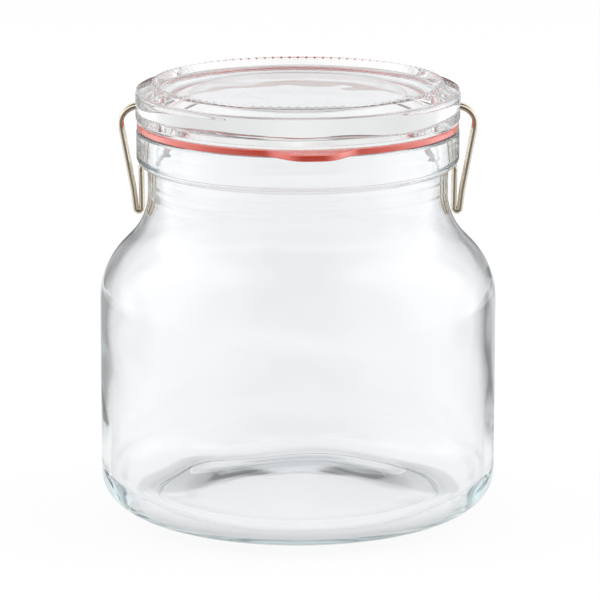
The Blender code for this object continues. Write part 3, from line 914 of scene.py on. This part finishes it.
def wire_marks_group():
    """Node group for the fine lines that drawing leaves along a wire, from its map in metres."""
    if "wire_marks" in bpy.data.node_groups:
        return bpy.data.node_groups["wire_marks"]
    group, given, result = group_named(
        "wire_marks",
        [("Length", "NodeSocketFloat", 60.0), ("Width", "NodeSocketFloat", 5000.0),
         ("Height", "NodeSocketFloat", 0.000004)],
        [("Normal", "NodeSocketVector"), ("Marks", "NodeSocketFloat")],
    )
    place = group.nodes.new("ShaderNodeUVMap")
    place.uv_map = "UVMap"
    size = group.nodes.new("ShaderNodeCombineXYZ")
    longer = group.nodes.new("ShaderNodeVectorMath")
    longer.operation = "MULTIPLY"
    noise = group.nodes.new("ShaderNodeTexNoise")
    noise.inputs["Scale"].default_value = 1.0
    bump = group.nodes.new("ShaderNodeBump")
    links = group.links
    links.new(given.outputs["Length"], size.inputs["X"])
    links.new(given.outputs["Width"], size.inputs["Y"])
    links.new(place.outputs["UV"], longer.inputs[0])
    links.new(size.outputs["Vector"], longer.inputs[1])
    links.new(longer.outputs["Vector"], noise.inputs["Vector"])
    links.new(noise.outputs["Fac"], bump.inputs["Height"])
    links.new(given.outputs["Height"], bump.inputs["Distance"])
    links.new(bump.outputs["Normal"], result.inputs["Normal"])
    links.new(noise.outputs["Fac"], result.inputs["Marks"])
    return group


def use_group(material, group, **values):
    """Place a node group in a material with its own values."""
    node = material.node_tree.nodes.new("ShaderNodeGroup")
    node.node_tree = group
    for name, value in values.items():
        node.inputs[name].default_value = value
    return node


def clear_glass(name, tint, depth_tint, density, ripple_height):
    """Clear moulded glass, faintly blue-green where it is thick, with painted shade that greys it where
    it is seen edge on.

    Lamps shine through it, so that its shadow stays light.
    """
    material, nodes, links = new_material(name)
    shader = nodes["Principled BSDF"]
    output = nodes["Material Output"]
    set_plain(shader, {"Roughness": 0.0, "IOR": 1.52, "Transmission Weight": 1.0})
    ripple = use_group(material, ripple_group(), Scale=45.0, Height=ripple_height, Detail=1.0)
    links.new(ripple.outputs["Normal"], shader.inputs["Normal"])
    # Painted shade: the glass's colour turns to a darker grey where it is seen edge on, standing in for
    # dark surroundings
    facing = nodes.new("ShaderNodeLayerWeight")
    facing.inputs["Blend"].default_value = 0.5
    steep = maths(nodes, links, "POWER", facing.outputs["Facing"], EDGE_SHADE_POWER)
    links.new(mixed(nodes, links, steep, tint, EDGE_PAINTED_SHADE), shader.inputs["Base Color"])
    path = nodes.new("ShaderNodeLightPath")
    passing = nodes.new("ShaderNodeBsdfTransparent")
    passing.inputs["Color"].default_value = (*SHADOW_TINT, 1)
    mix = nodes.new("ShaderNodeMixShader")
    links.new(path.outputs["Is Shadow Ray"], mix.inputs[0])
    links.new(shader.outputs[0], mix.inputs[1])
    links.new(passing.outputs[0], mix.inputs[2])
    links.new(mix.outputs[0], output.inputs["Surface"])
    depth = nodes.new("ShaderNodeVolumeAbsorption")
    depth.inputs["Color"].default_value = (*depth_tint, 1)
    depth.inputs["Density"].default_value = density
    links.new(depth.outputs["Volume"], output.inputs["Volume"])
    return material


def rubber(name, tint):
    """Orange-red rubber, mottled and grained, under a smooth skin."""
    material, nodes, links = new_material(name)
    shader = nodes["Principled BSDF"]
    set_plain(shader, {"Roughness": 0.25, "IOR": 1.6})
    set_plain(shader, {"Coat Weight": 1.0, "Coat Roughness": 0.10, "Coat IOR": 2.0})
    grain = use_group(material, ripple_group(), Scale=900.0, Height=0.00006, Detail=3.0)
    links.new(grain.outputs["Normal"], shader.inputs["Normal"])
    mottle = use_group(material, ripple_group(), Scale=160.0, Height=0.00006, Detail=4.0)
    shade = mottled(nodes, links, mottle.outputs["Mottle"], tint, RUBBER_SHADE_SHARES)
    links.new(shade, shader.inputs["Base Color"])
    return material


def steel(name, tint):
    """Polished stainless wire with fine marks along its length."""
    material, nodes, links = new_material(name)
    shader = nodes["Principled BSDF"]
    shader.inputs["Metallic"].default_value = 1.0
    marks = use_group(material, wire_marks_group(), Length=60.0, Width=5000.0, Height=0.000004)
    rough = maths(nodes, links, "MULTIPLY_ADD", marks.outputs["Marks"], MARKS_ROUGHNESS, STEEL_ROUGHNESS)
    links.new(rough, shader.inputs["Roughness"])
    links.new(marks.outputs["Normal"], shader.inputs["Normal"])
    shade = mottled(nodes, links, marks.outputs["Marks"], tint, STEEL_SHADE_SHARES)
    links.new(shade, shader.inputs["Base Color"])
    return material


class JAR_OT_stage(bpy.types.Operator):
    """Set up the white floor, the soft lamps, the surroundings and the camera"""

    bl_idname = "jar.stage"
    bl_label = "Stage"

    def execute(self, context):
        s = context.scene.stage
        scene = context.scene
        scene.view_settings.view_transform = "Standard"
        scene.cycles.max_bounces = s.bounces
        scene.cycles.transmission_bounces = s.bounces
        scene.cycles.glossy_bounces = s.bounces
        self.camera(s, scene)
        self.floor(s, scene)
        self.cards(s)
        self.lamps(scene)
        self.surroundings(s, scene)
        return {"FINISHED"}

    def camera(self, s, scene):
        """The camera in front of the jar, tilted down."""
        camera = bpy.data.cameras.new("camera")
        camera.lens = s.lens
        camera.shift_x = s.shift
        viewer = bpy.data.objects.new("camera", camera)
        viewer.location = (0, -s.distance, s.height)
        viewer.rotation_euler = (QUARTER - s.pitch, 0, 0)
        scene.collection.objects.link(viewer)
        scene.camera = viewer

    def floor(self, s, scene):
        """The floor, one flat face with a round rim."""
        around = np.linspace(0, TURN, STAGE_SIDES, endpoint=False)
        rim = turned(np.array([(s.floor, -s.floor_gap)]), around)[0].tolist()
        mesh = bpy.data.meshes.new("floor")
        mesh.from_pydata(rim, [], [list(range(len(rim)))])
        floor = bpy.data.objects.new("floor", mesh)
        scene.collection.objects.link(floor)
        mesh.materials.append(self.floor_paint(s))

    def floor_paint(self, s):
        """Pale paint, shown partly as plain white so that the jar's shadow stays.

        Glass mirrors it by its own sides near the jar, by those of the walls far off, as white
        close round the jar and darker under it.
        """
        material, nodes, links = new_material("floor_paint")
        nodes.remove(nodes["Principled BSDF"])
        paint = nodes.new("ShaderNodeBsdfDiffuse")
        paint.inputs["Color"].default_value = (*FLOOR_PAINT, 1)
        white = nodes.new("ShaderNodeEmission")
        mix = nodes.new("ShaderNodeMixShader")
        links.new(paint.outputs[0], mix.inputs[1])
        links.new(white.outputs[0], mix.inputs[2])
        place = nodes.new("ShaderNodeTexCoord")
        distance = nodes.new("ShaderNodeVectorMath")
        distance.operation = "LENGTH"
        links.new(place.outputs["Object"], distance.inputs[0])
        away = distance.outputs["Value"]
        past = eased(nodes, links, away, s.pool, s.pool_edge)
        beyond = eased(nodes, links, away, s.near_floor, s.far_floor)
        under = eased(nodes, links, away, s.contact, s.contact_edge, s.contact_level)
        near = studio_side(nodes, links, place.outputs["Object"], FLOOR_SIDES, past)
        far = studio_side(nodes, links, place.outputs["Object"], WALL_SIDES, 1.0)
        more = maths(nodes, links, "SUBTRACT", far, near)
        more = maths(nodes, links, "MULTIPLY", more, beyond)
        side = maths(nodes, links, "ADD", near, more)
        side = maths(nodes, links, "MULTIPLY", side, under)
        seen, level = seen_level(nodes, links, s.mirrored, side)
        links.new(level, white.inputs["Strength"])
        amount = maths(nodes, links, "MULTIPLY", seen, s.whiteness)
        links.new(amount, mix.inputs[0])
        links.new(mix.outputs[0], nodes["Material Output"].inputs["Surface"])
        return material

    def cards(self, s):
        """Low dark cards, an upright band round the jar: they dim only light mirrored by its pieces."""
        around = np.linspace(0, TURN, STAGE_SIDES, endpoint=False)
        upright = np.array([(s.card_distance, s.card_height), (s.card_distance, CARD_FOOT)])
        grid = turned(upright, around)
        material, nodes, links = new_material("dark_cards")
        nodes.remove(nodes["Principled BSDF"])
        clear = nodes.new("ShaderNodeBsdfTransparent")
        place = nodes.new("ShaderNodeTexCoord")
        axes = nodes.new("ShaderNodeSeparateXYZ")
        links.new(place.outputs["Object"], axes.inputs[0])
        low = eased(nodes, links, axes.outputs["Z"], s.card_height, s.card_height - s.card_fade)
        side = studio_side(nodes, links, place.outputs["Object"], CARD_SIDES, low)
        level = seen_level(nodes, links, 1.0, side)[1]
        links.new(level, clear.inputs["Color"])
        links.new(clear.outputs[0], nodes["Material Output"].inputs["Surface"])
        mesh_piece("dark_cards", grid, material)

    def lamps(self, scene):
        """Soft square lamps that point at the jar and that no piece mirrors."""
        for name, place, size, power, tint in LAMPS:
            lamp = bpy.data.lights.new(name, "AREA")
            lamp.shape = "SQUARE"
            lamp.size = size
            lamp.energy = power
            lamp.color = tint
            holder = bpy.data.objects.new(name, lamp)
            holder.location = place
            aim = holder.location.copy()
            aim.z -= LAMP_AIM
            holder.rotation_euler = aim.to_track_quat("Z", "Y").to_euler()
            holder.visible_glossy = False
            holder.visible_transmission = False
            scene.collection.objects.link(holder)

    def surroundings(self, s, scene):
        """A world that is white to the camera, as bright as the walls where it is mirrored, and
        dimmer as a light.
        """
        world = bpy.data.worlds.new("surroundings")
        world.use_nodes = True
        nodes, links = world.node_tree.nodes, world.node_tree.links
        background = nodes["Background"]
        background.inputs["Color"].default_value = (1, 1, 1, 1)
        place = nodes.new("ShaderNodeTexCoord")
        side = studio_side(nodes, links, place.outputs["Generated"], WALL_SIDES, 1.0)
        seen, level = seen_level(nodes, links, s.mirrored, side)
        shown = maths(nodes, links, "MULTIPLY", seen, level)
        unseen = maths(nodes, links, "SUBTRACT", 1.0, seen)
        unseen = maths(nodes, links, "MULTIPLY", unseen, side)
        light = maths(nodes, links, "MULTIPLY", unseen, s.ambient)
        total = maths(nodes, links, "ADD", shown, light)
        links.new(total, background.inputs["Strength"])
        scene.world = world


def maths(nodes, links, operation, *values):
    """A Math node on sockets or numbers, and its result."""
    node = nodes.new("ShaderNodeMath")
    node.operation = operation
    for socket, value in zip(node.inputs, values):
        if isinstance(value, (int, float)):
            socket.default_value = value
        else:
            links.new(value, socket)
    return node.outputs[0]


def studio_side(nodes, links, place, sides, amount):
    """Brightness of the studio on the side where a place lies, by its angle from the front.

    An amount below 1 brings it towards plain white.
    """
    axes = nodes.new("ShaderNodeSeparateXYZ")
    links.new(place, axes.inputs[0])
    forward = maths(nodes, links, "MULTIPLY", axes.outputs["Y"], -1.0)
    turn = maths(nodes, links, "ARCTAN2", axes.outputs["X"], forward)
    part = maths(nodes, links, "MULTIPLY_ADD", turn, 1 / TURN, 0.5)
    ring = nodes.new("ShaderNodeValToRGB")
    ring.color_ramp.interpolation = "EASE"
    stops = ring.color_ramp.elements
    for stop, (degrees, brightness) in zip(stops, (sides[0], sides[-1])):
        stop.position = degrees / 360 + 0.5
        stop.color = (brightness, brightness, brightness, 1)
    for degrees, brightness in sides[1:-1]:
        stops.new(degrees / 360 + 0.5).color = (brightness, brightness, brightness, 1)
    links.new(part, ring.inputs["Fac"])
    loss = maths(nodes, links, "SUBTRACT", 1.0, ring.outputs["Color"])
    loss = maths(nodes, links, "MULTIPLY", loss, amount)
    return maths(nodes, links, "SUBTRACT", 1.0, loss)


def seen_level(nodes, links, mirrored, side):
    """1 for what the camera sees, itself or in glass and metal, and how bright it is there.

    The level is 1, and that of the studio's side for light that was mirrored on its way: most of
    the studio round the jar is dimmer than the white behind it, and that draws the edges of clear
    glass.
    """
    path = nodes.new("ShaderNodeLightPath")
    through, off = path.outputs["Is Transmission Ray"], path.outputs["Is Glossy Ray"]
    glass = maths(nodes, links, "MAXIMUM", through, off)
    seen = maths(nodes, links, "MAXIMUM", path.outputs["Is Camera Ray"], glass)
    bounced = maths(nodes, links, "MINIMUM", path.outputs["Glossy Depth"], 1.0)
    kept = maths(nodes, links, "MULTIPLY", side, mirrored)
    loss = maths(nodes, links, "SUBTRACT", 1.0, kept)
    loss = maths(nodes, links, "MULTIPLY", bounced, loss)
    return seen, maths(nodes, links, "SUBTRACT", 1.0, loss)


class JAR_PT_panel(bpy.types.Panel):
    """Lists the jar's pieces"""

    bl_idname = "JAR_PT_panel"
    bl_label = "Canning Jar"
    bl_space_type = "VIEW_3D"
    bl_region_type = "UI"
    bl_category = "Jar"

    def draw(self, context):
        for operator in OPERATORS:
            self.layout.operator(operator.bl_idname)


SETTINGS = {
    "jar_glass": JarGlassSettings,
    "lid": LidSettings,
    "rubber_ring": RubberRingSettings,
    "clips": ClipSettings,
    "stage": StageSettings,
}
OPERATORS = (JAR_OT_jar_glass, JAR_OT_lid, JAR_OT_rubber_ring, JAR_OT_clips, JAR_OT_stage)


def register():
    for group in SETTINGS.values():
        bpy.utils.register_class(group)
    for name, group in SETTINGS.items():
        setattr(bpy.types.Scene, name, PointerProperty(type=group))
    for operator in OPERATORS:
        bpy.utils.register_class(operator)
    bpy.utils.register_class(JAR_PT_panel)


def unregister():
    bpy.utils.unregister_class(JAR_PT_panel)
    for operator in reversed(OPERATORS):
        bpy.utils.unregister_class(operator)
    for name in SETTINGS:
        delattr(bpy.types.Scene, name)
    for group in reversed(list(SETTINGS.values())):
        bpy.utils.unregister_class(group)


def main():
    register()
    bpy.ops.jar.jar_glass()
    bpy.ops.jar.lid()
    bpy.ops.jar.rubber_ring()
    bpy.ops.jar.clips()
    bpy.ops.jar.stage()


if __name__ == "__main__":
    main()
